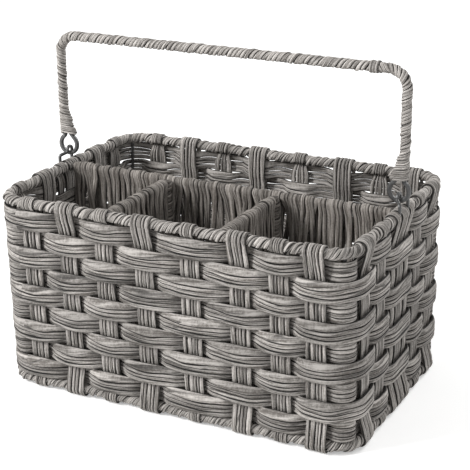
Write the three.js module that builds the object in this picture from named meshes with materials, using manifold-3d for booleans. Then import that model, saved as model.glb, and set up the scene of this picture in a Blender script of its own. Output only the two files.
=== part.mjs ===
// A woven cutlery basket: paper cord over a wire frame, four compartments and
// a swinging bail handle. Millimetres, X along the length, the front faces -Y,
// the basket stands on Z = 0.
import * as THREE from "three";
import { mergeVertices } from "three/addons/utils/BufferGeometryUtils.js";
import Module from "manifold-3d";

const wasm = await Module();
wasm.setup();

// Driving dimensions.
const fit = 0.3; // gap between two pieces that seat on each other

// The frame: two wire hoops, measured on the wire's centreline.
const rimLength = 252;
const rimWidth = 170;
const baseLength = 255;
const baseWidth = 160;
const hoopSpacing = 130.7;
const cornerRadius = 16.5;
const hoopWireRadius = 1.5;
const bindingRadius = 3.8;
const bindingWall = 2;
const postRadius = 1.2;

// The woven walls.
const bandThickness = 2.4;
const stakeWidth = 14.5;
const middleStakeWidth = 31;
const hookThickness = 1.2;
const rowCount = 9;
const firstRowDrop = 10.6;
const lastRowRise = 11.6;
const hiddenHeight = 12.4;
const crossingHeight = 12.8;
const crestHeight = 15;
const rampLength = 6.5;
const rampGap = 0.4;
const cornerTurns = [0, 22.5, 45, 67.5, 90]; // degrees, where a band is bent round a corner
const freeCornerTurn = 47; // degrees, where a row crosses a corner between two ramps
// Places of the upright stakes as shares of a wall's length, from its middle.
const longWallShares = [-0.4, -0.287, -0.176, -0.058, 0.074, 0.2115, 0.319, 0.4145];
const backWallShares = longWallShares.map((share) => -share).reverse();
const endWallShares = [-0.36, -0.197, 0, 0.197, 0.36];
const middleStake = 2; // index of the wide stake that the handle loop passes
// The outline of a hook, in degrees round its hoop.
const hookTurn = 30;
const hookStart = -45;
const hookSteps = 8;
const hookEnd = hookStart + hookSteps * hookTurn;

// The woven floor.
const matThickness = 2.4;
const matWave = 1.1;
const longBandCount = 5;
const crossBandCount = 9;

// The dividers.
const dividerWire = 1.3;
const dividerCord = 1.5;
const dividerBend = 5;
const crossDividerShares = [-0.167, 0.16]; // places along the rim's length
const postWrapRadius = 3.6;

// The handle and the wire loops that hold it.
const handleWire = 1.4;
const eyeRadius = 6.6;
const eyeInset = 0.8; // from the rim wire's line to the middle of the eye
const pivotRise = 9.4; // above the rim wire
const handleReach = 85.3; // from the pivot to the bar
const handleBend = 12;
const shaftOffset = 3;
const tailLength = 22;
const tailJoin = 13.5;
const handleCord = 1.65;
const handleTurnPitch = 4.6;
const flareLength = 12;
const cordRelief = 0.35;
const loopWire = 1;
const loopPlay = 0.45;
const loopRise = 2;
const loopFoot = 7.5;
const loopTuck = 3;
const loopShoulder = 7.6;
// How far along its rise each end of a leg's curve keeps its direction, as shares.
const loopHoldShare = 0.55;
const eyeHoldShare = 0.5;
const tailHoldShare = 0.5;
const tailLeanShare = 0.17;
const tailCloseShare = 0.3;
const shaftHoldShare = 0.75;
const shaftLeanShare = 0.55;
// Numbers of steps along the curves, and of sides round the wires.
const wireSides = 6;
const loopSides = 8;
const hoopWireSides = 6;
const bindingSides = 8;
const wrapSides = 12;
const legSteps = 7;
const archSteps = 6;
const eyeSteps = 18;
const curveSteps = 4;
const bendSteps = 5;
const ringsPerTurn = 3;
// Degrees: where the eye's full turn starts, and how much of a winding is spread.
const eyeStart = 135;
const eyeTurn = 270;
const flareTurn = 80;
// Where the winding's bore is bent, as shares of the tail inside it.
const boreShares = [0, 0.2, 0.45, 0.7, 1, 1.4, 1.8];

// Levels and offsets that follow from those sizes.
const weaveOffset = bandThickness + fit;
const weaveReach = weaveOffset + bandThickness / 2;
const hookInner = bindingRadius + fit;
const hookOuter = hookInner + hookThickness;
const baseLevel = hookOuter * Math.cos(THREE.MathUtils.degToRad(hookTurn / 2));
const rimLevel = baseLevel + hoopSpacing;
const rowPitch = (hoopSpacing - firstRowDrop - lastRowRise) / (rowCount - 1);
const cornerHeight = rowPitch - fit - fit / 2;
const matTop = baseLevel + matWave + matThickness / 2;
const pivotLevel = rimLevel + pivotRise;
const eyeLine = rimLength / 2 - eyeInset;
const eyeLevel = pivotLevel + eyeRadius;
const barLevel = pivotLevel + handleReach;
const loopOut = hoopWireRadius + fit + loopWire;
const windingLevel = eyeLevel + eyeRadius + fit;

const quarter = Math.PI / 2;
const lerp = THREE.MathUtils.lerp;
const rad = THREE.MathUtils.degToRad;

const colours = { cord: 0x96928c, inner: 0x7f7b75, wire: 0x4e504f };
const basket = new THREE.Group();
const handle = new THREE.Group();

function addPiece(group, name, geometry, kind) {
  const material = new THREE.MeshStandardMaterial({
    color: colours[kind],
    roughness: kind === "wire" ? 0.45 : 0.85,
    metalness: kind === "wire" ? 0.9 : 0,
  });
  const mesh = new THREE.Mesh(geometry, material);
  mesh.name = name;
  group.add(mesh);
}

// Meshes from rings of points.

// Joins rings of equal length into a skin; a closed skin meets its own start.
function skin(rings, closed, inwards, triangles) {
  const steps = closed ? rings.length : rings.length - 1;
  for (let i = 0; i < steps; i++) {
    const here = rings[i];
    const next = rings[(i + 1) % rings.length];
    for (let j = 0; j < here.length; j++) {
      const k = (j + 1) % here.length;
      const pair = [
        [here[j], here[k], next[k]],
        [here[j], next[k], next[j]],
      ];
      for (const [a, b, c] of pair) triangles.push(inwards ? [a, c, b] : [a, b, c]);
    }
  }
}

function capFan(ring, inwards, triangles) {
  for (let j = 1; j < ring.length - 1; j++) {
    const [b, c] = inwards ? [ring[j + 1], ring[j]] : [ring[j], ring[j + 1]];
    triangles.push([ring[0], b, c]);
  }
}

function capRing(outer, inner, inwards, triangles) {
  for (let j = 0; j < outer.length; j++) {
    const k = (j + 1) % outer.length;
    const pair = [
      [outer[j], outer[k], inner[k]],
      [outer[j], inner[k], inner[j]],
    ];
    for (const [a, b, c] of pair) triangles.push(inwards ? [a, c, b] : [a, b, c]);
  }
}

function toGeometry(triangles) {
  const values = triangles.flat().flatMap((p) => [p.x, p.y, p.z]);
  const geometry = new THREE.BufferGeometry();
  geometry.setAttribute("position", new THREE.Float32BufferAttribute(values, 3));
  return mergeVertices(geometry);
}

function solidBar(rings, closed = false) {
  const triangles = [];
  skin(rings, closed, false, triangles);
  if (!closed) {
    capFan(rings[0], true, triangles);
    capFan(rings[rings.length - 1], false, triangles);
  }
  return toGeometry(triangles);
}

function sleeve(outer, inner) {
  const triangles = [];
  skin(outer, false, false, triangles);
  skin(inner, false, true, triangles);
  capRing(outer[0], inner[0], true, triangles);
  capRing(outer[outer.length - 1], inner[inner.length - 1], false, triangles);
  return toGeometry(triangles);
}

// Boolean work.

function toManifold(geometry) {
  const plain = geometry.clone();
  plain.deleteAttribute("normal");
  plain.deleteAttribute("uv");
  const merged = mergeVertices(plain);
  return new wasm.Manifold(
    new wasm.Mesh({
      numProp: 3,
      vertProperties: merged.attributes.position.array,
      triVerts: new Uint32Array(merged.index.array),
    }),
  );
}

function cut(geometry, ...tools) {
  let result = toManifold(geometry);
  for (const tool of tools) result = result.subtract(toManifold(tool));
  const mesh = result.getMesh();
  const out = new THREE.BufferGeometry();
  out.setAttribute("position", new THREE.BufferAttribute(mesh.vertProperties, 3));
  out.setIndex(new THREE.BufferAttribute(mesh.triVerts, 1));
  return out;
}

// Wires swept along a path of points.

function pathPoints(curves, divisions) {
  const points = [curves[0].getPoint(0)];
  curves.forEach((curve, i) => points.push(...curve.getPoints(divisions[i]).slice(1)));
  return points;
}

// One frame for each point: side is square to the path and to the flat normal.
function sweepFrames(points, flatNormal) {
  return points.map((point, i) => {
    const before = points[Math.max(i - 1, 0)];
    const after = points[Math.min(i + 1, points.length - 1)];
    const along = after.clone().sub(before).normalize();
    const side = flatNormal.clone().cross(along).normalize();
    const up = along.clone().cross(side);
    return { point, side, up };
  });
}

function roundRing({ point, side, up }, radius, count) {
  return Array.from({ length: count }, (_, j) => {
    const angle = (j / count) * 2 * Math.PI;
    return point
      .clone()
      .addScaledVector(side, radius * Math.cos(angle))
      .addScaledVector(up, radius * Math.sin(angle));
  });
}

function wireAlong(points, flatNormal, radius, count) {
  const frames = sweepFrames(points, flatNormal);
  return solidBar(frames.map((frame) => roundRing(frame, radius, count)));
}

// The four walls, followed anticlockwise as seen from above. A wall runs along
// one direction and faces out along the other.
const sides = [
  { name: "front", along: [1, 0], out: [0, -1], shares: longWallShares, parity: 0, long: true },
  { name: "right", along: [0, 1], out: [1, 0], shares: endWallShares, parity: 1, long: false },
  { name: "back", along: [-1, 0], out: [0, 1], shares: backWallShares, parity: 1, long: true },
  { name: "left", along: [0, -1], out: [-1, 0], shares: endWallShares, parity: 0, long: false },
];

function lengthAt(level) {
  return lerp(baseLength, rimLength, (level - baseLevel) / hoopSpacing);
}

function widthAt(level) {
  return lerp(baseWidth, rimWidth, (level - baseLevel) / hoopSpacing);
}

// A place on a wall is a share of its length plus an offset, or a turn round the
// corner at its far end. Past the straight part an offset follows the corner.
function wallPoint(side, place, outward, level) {
  const run = side.long ? lengthAt(level) : widthAt(level);
  const reach = (side.long ? widthAt(level) : lengthAt(level)) / 2;
  const straight = run / 2 - cornerRadius;
  const along = (place.share ?? 0) * run + (place.offset ?? 0);
  const past = Math.max(Math.abs(along) - straight, 0) / cornerRadius;
  const turn = place.turn ?? past;
  const end = place.turn === undefined ? Math.sign(along) : 1;
  let a = along;
  let b = reach + outward;
  if (place.turn !== undefined || past > 0) {
    a = end * (straight + (cornerRadius + outward) * Math.sin(turn));
    b = reach - cornerRadius + (cornerRadius + outward) * Math.cos(turn);
  }
  return new THREE.Vector3(
    a * side.along[0] + b * side.out[0],
    a * side.along[1] + b * side.out[1],
    level,
  );
}

function goesOutside(row, side, stake) {
  return (row + stake + side.parity) % 2 === 0;
}

function stakeHalf(side, stake) {
  return (!side.long && stake === middleStake ? middleStakeWidth : stakeWidth) / 2;
}

// Wire hoops, the cord bound round them and the posts in the corners.

function hoopStations() {
  const turns = cornerTurns.map(rad);
  return sides.flatMap((side) => turns.map((turn) => ({ side, place: { turn } })));
}

function hoopRing({ side, place }, radius, count, level) {
  return Array.from({ length: count }, (_, j) => {
    const angle = (j / count) * 2 * Math.PI;
    const outward = -radius * Math.cos(angle);
    return wallPoint(side, place, outward, level + radius * Math.sin(angle));
  });
}

function hoop(level) {
  const rings = hoopStations().map((s) => hoopRing(s, hoopWireRadius, hoopWireSides, level));
  return solidBar(rings, true);
}

// The binding is slit under one of the stakes that hook over it.
function hoopBinding(level) {
  const stations = hoopStations();
  const back = sides[2];
  const slitShare = back.shares[2];
  const at = stations.findIndex((s) => s.side === back);
  const order = [...stations.slice(at), ...stations.slice(0, at)];
  const start = { side: back, place: { share: slitShare, offset: fit } };
  const end = { side: back, place: { share: slitShare, offset: -fit } };
  const run = [start, ...order, end];
  const ringsOf = (radius) => run.map((s) => hoopRing(s, radius, bindingSides, level));
  return sleeve(ringsOf(bindingRadius), ringsOf(bindingRadius - bindingWall));
}

function cornerPost(side) {
  const low = baseLevel + bindingRadius + fit;
  const high = rimLevel - bindingRadius - fit;
  const ends = [low, high].map((level) => wallPoint(side, { turn: rad(45) }, 0, level));
  return wireAlong(ends, new THREE.Vector3(1, 0, 0), postRadius, wireSides);
}

// A weaver row: one band that goes out over one stake and in behind the next.

function rowKnots(row, side) {
  const knots = [];
  side.shares.forEach((share, stake) => {
    if (goesOutside(row, side, stake)) {
      knots.push({ share, offset: 0, out: weaveOffset, height: crestHeight });
      return;
    }
    const edge = stakeHalf(side, stake) + rampGap;
    const ramp = edge + rampLength;
    for (const [offset, out, height] of [
      [-ramp, weaveOffset, crossingHeight],
      [-edge, -weaveOffset, hiddenHeight],
      [edge, -weaveOffset, hiddenHeight],
      [ramp, weaveOffset, crossingHeight],
    ])
      knots.push({ share, offset, out, height });
  });
  const lastOutside = goesOutside(row, side, side.shares.length - 1);
  for (const turn of (lastOutside ? cornerTurns : [freeCornerTurn]).map(rad))
    knots.push({ turn, out: weaveOffset, height: cornerHeight });
  return knots;
}

function rowRing(row, side, knot) {
  const level = rimLevel - firstRowDrop - row * rowPitch;
  const roomAbove = rimLevel - hookInner - level;
  const roomBelow = level - baseLevel - hookInner;
  const top = level + Math.min(knot.height / 2, roomAbove);
  const bottom = level - Math.min(knot.height / 2, roomBelow);
  const inner = knot.out - bandThickness / 2;
  const outer = knot.out + bandThickness / 2;
  return [
    wallPoint(side, knot, inner, bottom),
    wallPoint(side, knot, inner, top),
    wallPoint(side, knot, outer, top),
    wallPoint(side, knot, outer, bottom),
  ];
}

function weaverRow(row) {
  const ringsOn = (side) => rowKnots(row, side).map((knot) => rowRing(row, side, knot));
  return solidBar(sides.flatMap(ringsOn), true);
}

// A stake: an upright band in the middle of the wall. Where it passes in front
// of the row next to a hoop, it hooks over that hoop's binding.

function arcPoints(radius, from, to, count) {
  return Array.from({ length: count + 1 }, (_, i) => {
    const angle = rad(lerp(from, to, i / count));
    return [radius * Math.cos(angle), radius * Math.sin(angle)];
  });
}

// Half a stake's outline from the middle up, as outward and upward offsets.
function stakeEnd(hooked) {
  const half = bandThickness / 2;
  if (!hooked) return [[half, -hookInner], [-half, -hookInner]];
  return [
    [half, -hookInner - bandThickness - half],
    ...arcPoints(hookOuter, hookStart, hookEnd, hookSteps),
    ...arcPoints(hookInner, hookEnd, hookStart, hookSteps),
    [-half, -hookInner - half - half / 2],
  ];
}

function stake(side, index) {
  const atRim = stakeEnd(!goesOutside(0, side, index));
  const atBase = stakeEnd(!goesOutside(rowCount - 1, side, index));
  const top = atRim.map(([out, up]) => new THREE.Vector2(out, rimLevel + up));
  const bottom = atBase.map(([out, up]) => new THREE.Vector2(out, baseLevel - up)).reverse();
  const width = 2 * stakeHalf(side, index);
  const shape = new THREE.Shape([...top, ...bottom]);
  const geometry = new THREE.ExtrudeGeometry(shape, { depth: width, bevelEnabled: false });
  const position = geometry.getAttribute("position");
  for (let i = 0; i < position.count; i++) {
    const offset = width / 2 - position.getZ(i);
    const place = { share: side.shares[index], offset };
    const point = wallPoint(side, place, position.getX(i), position.getY(i));
    position.setXYZ(i, point.x, point.y, point.z);
  }
  return geometry;
}

// The woven floor: a mat whose two faces rise and fall where its bands cross.

function floorMat() {
  const halfLength = baseLength / 2 - hookOuter - fit;
  const halfWidth = baseWidth / 2 - hookOuter - fit;
  const columns = 2 * crossBandCount;
  const lines = 2 * longBandCount;
  const round = cornerRadius - hookOuter - fit;
  const face = (i, j, lift) => {
    const wave = Math.sin(i * quarter) * Math.sin(j * quarter);
    let x = lerp(-halfLength, halfLength, i / columns);
    let y = lerp(-halfWidth, halfWidth, j / lines);
    if (i % columns === 0 && j % lines === 0) {
      x -= Math.sign(x) * round * (1 - Math.SQRT1_2);
      y -= Math.sign(y) * round * (1 - Math.SQRT1_2);
    }
    return new THREE.Vector3(x, y, baseLevel + matWave * wave + lift);
  };
  const triangles = [];
  const quad = (...corners) => {
    const [a, b, c, d] = corners.map(([i, j, lift]) => face(i, j, lift));
    triangles.push([a, b, c], [a, c, d]);
  };
  const up = matThickness / 2;
  for (let i = 0; i < columns; i++)
    for (let j = 0; j < lines; j++) {
      quad([i, j, up], [i + 1, j, up], [i + 1, j + 1, up], [i, j + 1, up]);
      quad([i, j + 1, -up], [i + 1, j + 1, -up], [i + 1, j, -up], [i, j, -up]);
    }
  for (let i = 0; i < columns; i++) {
    quad([i, 0, -up], [i + 1, 0, -up], [i + 1, 0, up], [i, 0, up]);
    quad([i, lines, up], [i + 1, lines, up], [i + 1, lines, -up], [i, lines, -up]);
  }
  for (let j = 0; j < lines; j++) {
    quad([0, j, up], [0, j + 1, up], [0, j + 1, -up], [0, j, -up]);
    quad([columns, j, -up], [columns, j + 1, -up], [columns, j + 1, up], [columns, j, up]);
  }
  return toGeometry(triangles);
}

// Dividers: a bent wire frame with a double layer of cords pulled over it. A
// divider runs from one wall to another piece, and its ends follow the walls.

const cordHalf = dividerWire + fit + dividerCord;
const dividerFoot = matTop + fit;
const cordTop = rimLevel + cordHalf;

// Section of the cord layer, across the divider and up.
function cordSection(half, top, bottom) {
  const points = [[-half, bottom], [half, bottom]];
  for (const angle of [0, 45, 90, 135, 180])
    points.push([half * Math.cos(rad(angle)), top - half + half * Math.sin(rad(angle))]);
  return points;
}

// An end of a divider is a function from a level to a distance along it.
function cordLayer(place, startAt, endAt) {
  const outerSection = cordSection(cordHalf, cordTop, dividerFoot);
  const innerSection = cordSection(
    cordHalf - dividerCord,
    cordTop - dividerCord,
    dividerFoot + dividerCord,
  );
  const ring = (section, at) => section.map(([across, level]) => place(at(level), across, level));
  const ends = [startAt, endAt];
  return sleeve(
    ends.map((at) => ring(outerSection, at)),
    ends.map((at) => ring(innerSection, at)),
  );
}

// The frame: a top rail and two legs, bent from one wire.
function dividerPath(place, startAt, endAt) {
  const low = dividerFoot + dividerCord + fit + dividerWire;
  const inset = dividerWire + fit;
  const corner = (at, sign) => {
    const top = at(rimLevel) + sign * inset;
    const bend = at(rimLevel - dividerBend) + sign * inset;
    return {
      foot: place(at(low) + sign * inset, 0, low),
      down: place(bend, 0, rimLevel - dividerBend),
      tip: place(top, 0, rimLevel),
      over: place(top + sign * dividerBend, 0, rimLevel),
    };
  };
  const a = corner(startAt, 1);
  const b = corner(endAt, -1);
  return pathPoints(
    [
      new THREE.LineCurve3(a.foot, a.down),
      new THREE.QuadraticBezierCurve3(a.down, a.tip, a.over),
      new THREE.LineCurve3(a.over, b.over),
      new THREE.QuadraticBezierCurve3(b.over, b.tip, b.down),
      new THREE.LineCurve3(b.down, b.foot),
    ],
    [1, curveSteps, 1, curveSteps, 1],
  );
}

function addDivider(name, place, flatNormal, startAt, endAt, frameStart = startAt) {
  const path = dividerPath(place, frameStart, endAt);
  const wire = (radius) => wireAlong(path, flatNormal, radius, wireSides);
  addPiece(basket, name + "_frame", wire(dividerWire), "wire");
  addPiece(basket, name + "_cords", cordLayer(place, startAt, endAt), "inner");
  return wire(dividerWire + fit);
}

function addDividers() {
  const wallGap = weaveReach + fit;
  const alongX = (distance, across, level) => new THREE.Vector3(distance, across, level);
  addDivider(
    "long_divider",
    alongX,
    new THREE.Vector3(0, 1, 0),
    (level) => wallGap - lengthAt(level) / 2,
    (level) => lengthAt(level) / 2 - hookOuter - fit,
  );
  crossDividerShares.forEach((share, i) => {
    const name = i ? "right" : "left";
    const x = share * rimLength;
    const fromLong = cordHalf + fit;
    const forward = (distance, across, level) => new THREE.Vector3(x - across, distance, level);
    const alongFront = (distance, across, level) => forward(-distance, -across, level);
    const fatFrame = addDivider(
      name + "_cross_divider",
      alongFront,
      new THREE.Vector3(1, 0, 0),
      () => fromLong + 2 * postWrapRadius + fit,
      (level) => widthAt(level) / 2 - wallGap,
      () => fromLong + postWrapRadius - dividerWire - fit,
    );
    const height = cordTop - dividerFoot;
    const wrap = new THREE.CylinderGeometry(postWrapRadius, postWrapRadius, height, wrapSides);
    wrap.rotateX(quarter);
    wrap.translate(x, -fromLong - postWrapRadius, dividerFoot + height / 2);
    const bored = cut(wrap, fatFrame, postBore(x, fromLong));
    addPiece(basket, name + "_divider_post_wrap", bored, "inner");
  });
}

// The wrap is open below the frame's leg, as the real one is wound round it.
function postBore(x, fromLong) {
  const radius = dividerWire + fit;
  const height = 2 * (dividerCord + radius + dividerWire + fit);
  const bore = new THREE.CylinderGeometry(radius, radius, height, wireSides);
  bore.rotateX(quarter);
  bore.translate(x, -fromLong - postWrapRadius, dividerFoot);
  return bore;
}

// A wire loop at each end wall, round the lowest wire of the handle's eye. Its
// legs stand beside the rim wire under the binding.

function loopPath(end) {
  const arch = handleWire + loopPlay + loopWire;
  const archLevel = pivotLevel + loopRise;
  const shoulder = rimLevel + loopShoulder;
  const footX = rimLength / 2 + loopOut;
  const at = (x, y, z) => new THREE.Vector3(end * x, y, z);
  const leg = (y) =>
    new THREE.CubicBezierCurve3(
      at(eyeLine, Math.sign(y) * arch, archLevel),
      at(eyeLine, Math.sign(y) * arch, lerp(archLevel, shoulder, loopHoldShare)),
      at(footX, y, lerp(shoulder, archLevel, loopHoldShare)),
      at(footX, y, shoulder),
    ).getPoints(legSteps);
  const over = Array.from({ length: archSteps + 1 }, (_, i) => {
    const angle = Math.PI * (i / archSteps);
    return at(eyeLine, -arch * Math.cos(angle), archLevel + arch * Math.sin(angle));
  });
  const foot = (y) => at(footX, y, rimLevel - loopTuck);
  return [
    foot(-loopFoot),
    ...leg(-loopFoot).reverse(),
    ...over.slice(1, -1),
    ...leg(loopFoot),
    foot(loopFoot),
  ];
}

function loopWireAlong(end, radius) {
  return wireAlong(loopPath(end), new THREE.Vector3(1, 0, 0), radius, loopSides);
}

// The slots between the bundles of the stake that the loop's legs pass.
function legSlots(end) {
  const width = 2 * (loopWire + fit);
  const depth = 4 * hookOuter;
  return [-loopFoot, loopFoot].map((y) => {
    const slot = new THREE.BoxGeometry(depth, width, depth);
    slot.translate(end * (rimLength / 2), y, rimLevel - hookInner - bandThickness + depth / 2);
    return slot;
  });
}

// The handle: one wire with an eye at each end, and cord wound along it.

const frontFace = new THREE.Vector3(0, -1, 0);

// Half of the wire's path, from the tail by one eye to the middle of the bar.
function handleHalf(end) {
  const at = (out, up) => new THREE.Vector3(end * (eyeLine + out), 0, eyeLevel + up);
  const tail = shaftOffset - 2 * handleWire - fit;
  const lean = eyeRadius * Math.SQRT1_2;
  const eye = (angle) => at(eyeRadius * Math.cos(angle), eyeRadius * Math.sin(angle));
  const round = Array.from({ length: eyeSteps + 1 }, (_, i) =>
    eye(rad(eyeStart + (eyeTurn * i) / eyeSteps)),
  );
  const inward = new THREE.CubicBezierCurve3(
    at(tail, tailJoin),
    at(tail, lerp(tailJoin, lean, tailHoldShare)),
    at(lerp(-lean, tail, tailCloseShare), lerp(lean, tailJoin, tailLeanShare)),
    at(-lean, lean),
  ).getPoints(curveSteps);
  const outward = new THREE.CubicBezierCurve3(
    at(lean, lean),
    at(lerp(lean, shaftOffset, shaftLeanShare), lerp(lean, eyeRadius, eyeHoldShare)),
    at(shaftOffset, lerp(lean, eyeRadius, shaftHoldShare)),
    at(shaftOffset, eyeRadius + fit),
  ).getPoints(curveSteps);
  const bendX = end * (eyeLine + shaftOffset - handleBend);
  const bend = new THREE.Vector3(bendX, 0, barLevel - handleBend);
  const turn = Array.from({ length: bendSteps + 1 }, (_, i) => {
    const angle = quarter * (i / bendSteps);
    const out = handleBend * Math.cos(angle);
    const up = handleBend * Math.sin(angle);
    return bend.clone().add(new THREE.Vector3(end * out, 0, up));
  });
  return {
    wire: [at(tail, tailLength), ...inward, ...round.slice(1, -1), ...outward, ...turn],
    turn,
  };
}

function handleWireSolid() {
  const right = handleHalf(1).wire;
  const left = handleHalf(-1).wire;
  return wireAlong([...left, ...right.reverse()], frontFace, handleWire, wireSides);
}

// The wound cord's middle line, from just above one eye to just above the other.
function windingPath() {
  const start = (end) => new THREE.Vector3(end * (eyeLine + shaftOffset), 0, windingLevel);
  const corner = (end) => handleHalf(end).turn;
  const points = [start(-1), ...corner(-1), ...corner(1).reverse(), start(1)];
  const path = new THREE.CurvePath();
  points.slice(1).forEach((point, i) => path.add(new THREE.LineCurve3(points[i], point)));
  return path;
}

// Next to an eye the turns also take in the wire's tail, on the inner side.
function flare(fromEnd) {
  const tailReach = 2 * handleWire + fit;
  const spread = eyeRadius * Math.SQRT1_2 - handleWire + fit + fit;
  const closing = THREE.MathUtils.clamp(1 - fromEnd / (tailJoin - eyeRadius), 0, 1);
  const beforeEnd = tailLength - eyeRadius - fromEnd;
  const fading = THREE.MathUtils.clamp(beforeEnd / flareLength + 1, 0, 1);
  return tailReach * fading + spread * closing;
}

function windingRing(frame, fromEnd, radius, count, phase, relief) {
  return Array.from({ length: count }, (_, j) => {
    const angle = (j / count) * 2 * Math.PI;
    const r = radius + relief * Math.cos(phase - angle);
    const inner = Math.cos(angle) > Math.cos(rad(flareTurn)) ? flare(fromEnd) : 0;
    return frame.point
      .clone()
      .addScaledVector(frame.side, r * Math.cos(angle) + inner)
      .addScaledVector(frame.up, r * Math.sin(angle));
  });
}

// Distances along the winding where its bore needs a ring: by the tails and bends.
function boreDistances(path, length) {
  const tail = tailLength - eyeRadius;
  const near = boreShares.map((share) => share * tail);
  const bends = path.getCurveLengths().slice(0, -1);
  return [...near, ...bends, ...near.map((distance) => length - distance).reverse()];
}

function handleWinding() {
  const path = windingPath();
  const length = path.getLength();
  const turns = Math.round(length / handleTurnPitch);
  const ringsAt = (distances, radius, relief) => {
    const points = distances.map((distance) => path.getPointAt(distance / length));
    return sweepFrames(points, frontFace.clone().negate()).map((frame, i) => {
      const fromEnd = Math.min(distances[i], length - distances[i]);
      const phase = (2 * Math.PI * turns * distances[i]) / length;
      return windingRing(frame, fromEnd, radius, bindingSides, phase, relief);
    });
  };
  const steps = turns * ringsPerTurn;
  const even = Array.from({ length: steps + 1 }, (_, i) => (i / steps) * length);
  const outside = ringsAt(even, handleWire + fit + handleCord - cordRelief, cordRelief);
  return sleeve(outside, ringsAt(boreDistances(path, length), handleWire + 2 * fit, 0));
}

// Assembly.

const loops = { right: loopWireAlong(1, loopWire), left: loopWireAlong(-1, loopWire) };
const fatLoops = [1, -1].map((end) => loopWireAlong(end, loopWire + fit));

addPiece(basket, "top_hoop", hoop(rimLevel), "wire");
addPiece(basket, "bottom_hoop", hoop(baseLevel), "wire");
addPiece(basket, "top_hoop_binding", cut(hoopBinding(rimLevel), ...fatLoops), "cord");
addPiece(basket, "bottom_hoop_binding", hoopBinding(baseLevel), "cord");
for (const side of sides) addPiece(basket, side.name + "_corner_post", cornerPost(side), "wire");
for (let row = 0; row < rowCount; row++)
  addPiece(basket, "weaver_row_" + (row + 1), weaverRow(row), "cord");
for (const side of sides)
  side.shares.forEach((_, index) => {
    const band = stake(side, index);
    const slotted = side.name === "right" && index === middleStake;
    const geometry = slotted ? cut(band, ...legSlots(1)) : band;
    addPiece(basket, side.name + "_stake_" + (index + 1), geometry, "cord");
  });
addPiece(basket, "floor_mat", floorMat(), "inner");
addDividers();
addPiece(basket, "right_handle_loop", loops.right, "wire");
addPiece(basket, "left_handle_loop", loops.left, "wire");
addPiece(handle, "handle_wire", handleWireSolid(), "wire");
addPiece(handle, "handle_winding", handleWinding(), "cord");

const part = new THREE.Group();
part.add(basket, handle);
export default part;
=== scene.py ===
# %% [markdown]
# # A woven cutlery basket
# This lesson builds the looks of a basket of paper cord, woven on a wire frame.
# The plain CAD part gives the places of all its pieces. Each soft piece of it is
# remade here from separate cords, because a woven wall is never one smooth band:
# it is many cords side by side, with dark gaps between them.

import math

import bpy
import numpy as np
from mathutils import Matrix, Vector


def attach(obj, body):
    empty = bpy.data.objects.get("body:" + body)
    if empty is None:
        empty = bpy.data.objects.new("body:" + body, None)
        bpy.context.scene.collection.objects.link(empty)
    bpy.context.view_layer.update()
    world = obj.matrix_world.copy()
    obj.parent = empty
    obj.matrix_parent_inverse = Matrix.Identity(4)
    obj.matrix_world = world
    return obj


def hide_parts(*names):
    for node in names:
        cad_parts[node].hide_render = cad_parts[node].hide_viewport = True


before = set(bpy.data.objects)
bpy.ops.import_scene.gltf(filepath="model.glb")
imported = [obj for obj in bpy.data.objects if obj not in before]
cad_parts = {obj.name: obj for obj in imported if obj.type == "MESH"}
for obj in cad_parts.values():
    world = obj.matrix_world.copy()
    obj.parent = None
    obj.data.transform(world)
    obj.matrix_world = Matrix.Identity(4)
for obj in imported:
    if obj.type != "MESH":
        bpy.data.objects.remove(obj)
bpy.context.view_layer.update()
bpy.ops.object.select_all(action="DESELECT")
bpy.context.scene.view_settings.view_transform = "Standard"
print("CAD nodes:", len(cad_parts))

# %% [markdown]
# ## The camera
# A long lens far away keeps the upright edges nearly parallel, as in a product
# photograph. The place is given by two angles and a distance from a target.

# %% Camera
CAMERA_TARGET = Vector((0.00768, 0, 0.1031))
CAMERA_DISTANCE = 0.9086
CAMERA_AZIMUTH = math.radians(26.96)
CAMERA_ELEVATION = math.radians(20.12)
CAMERA_ROLL = math.radians(0.4)
CAMERA_LENS = 101.2

camera_data = bpy.data.cameras.new("camera")
camera_data.sensor_width = 36
camera_data.lens = CAMERA_LENS
camera_data.clip_start = 0.02
camera_data.clip_end = 20
camera = bpy.data.objects.new("camera", camera_data)
bpy.context.scene.collection.objects.link(camera)
bpy.context.scene.camera = camera

level_part = math.cos(CAMERA_ELEVATION)
camera_back = Vector(
    (
        math.sin(CAMERA_AZIMUTH) * level_part,
        -math.cos(CAMERA_AZIMUTH) * level_part,
        math.sin(CAMERA_ELEVATION),
    )
)
camera.location = CAMERA_TARGET + camera_back * CAMERA_DISTANCE
aim = (-camera_back).to_track_quat("-Z", "Y").to_matrix()
camera.rotation_euler = (aim @ Matrix.Rotation(-CAMERA_ROLL, 3, "Z")).to_euler()
print("camera at", tuple(round(c, 3) for c in camera.location))

# %% [markdown]
# ## Floor and light
# A wide pale floor under a pale world gives a plain surround. One large lamp at
# the front left is the main light, a weak one on the right softens the shadows,
# and one behind lights the inside. The floor glows a little, but only as the
# camera sees it, so that it is as white as the world behind it.

# %% Floor, world and lamps
FLOOR_GLOW = 0.37
SKY_LIGHT, SKY_SEEN = 0.42, 1.0


def camera_strength(tree, socket, to_light, to_camera):
    """Sets one strength for the light that is given off and one for what is seen."""
    path = tree.nodes.new("ShaderNodeLightPath")
    scale = tree.nodes.new("ShaderNodeMath")
    scale.operation = "MULTIPLY_ADD"
    scale.inputs[1].default_value = to_camera - to_light
    scale.inputs[2].default_value = to_light
    tree.links.new(path.outputs["Is Camera Ray"], scale.inputs[0])
    tree.links.new(scale.outputs[0], socket)


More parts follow.
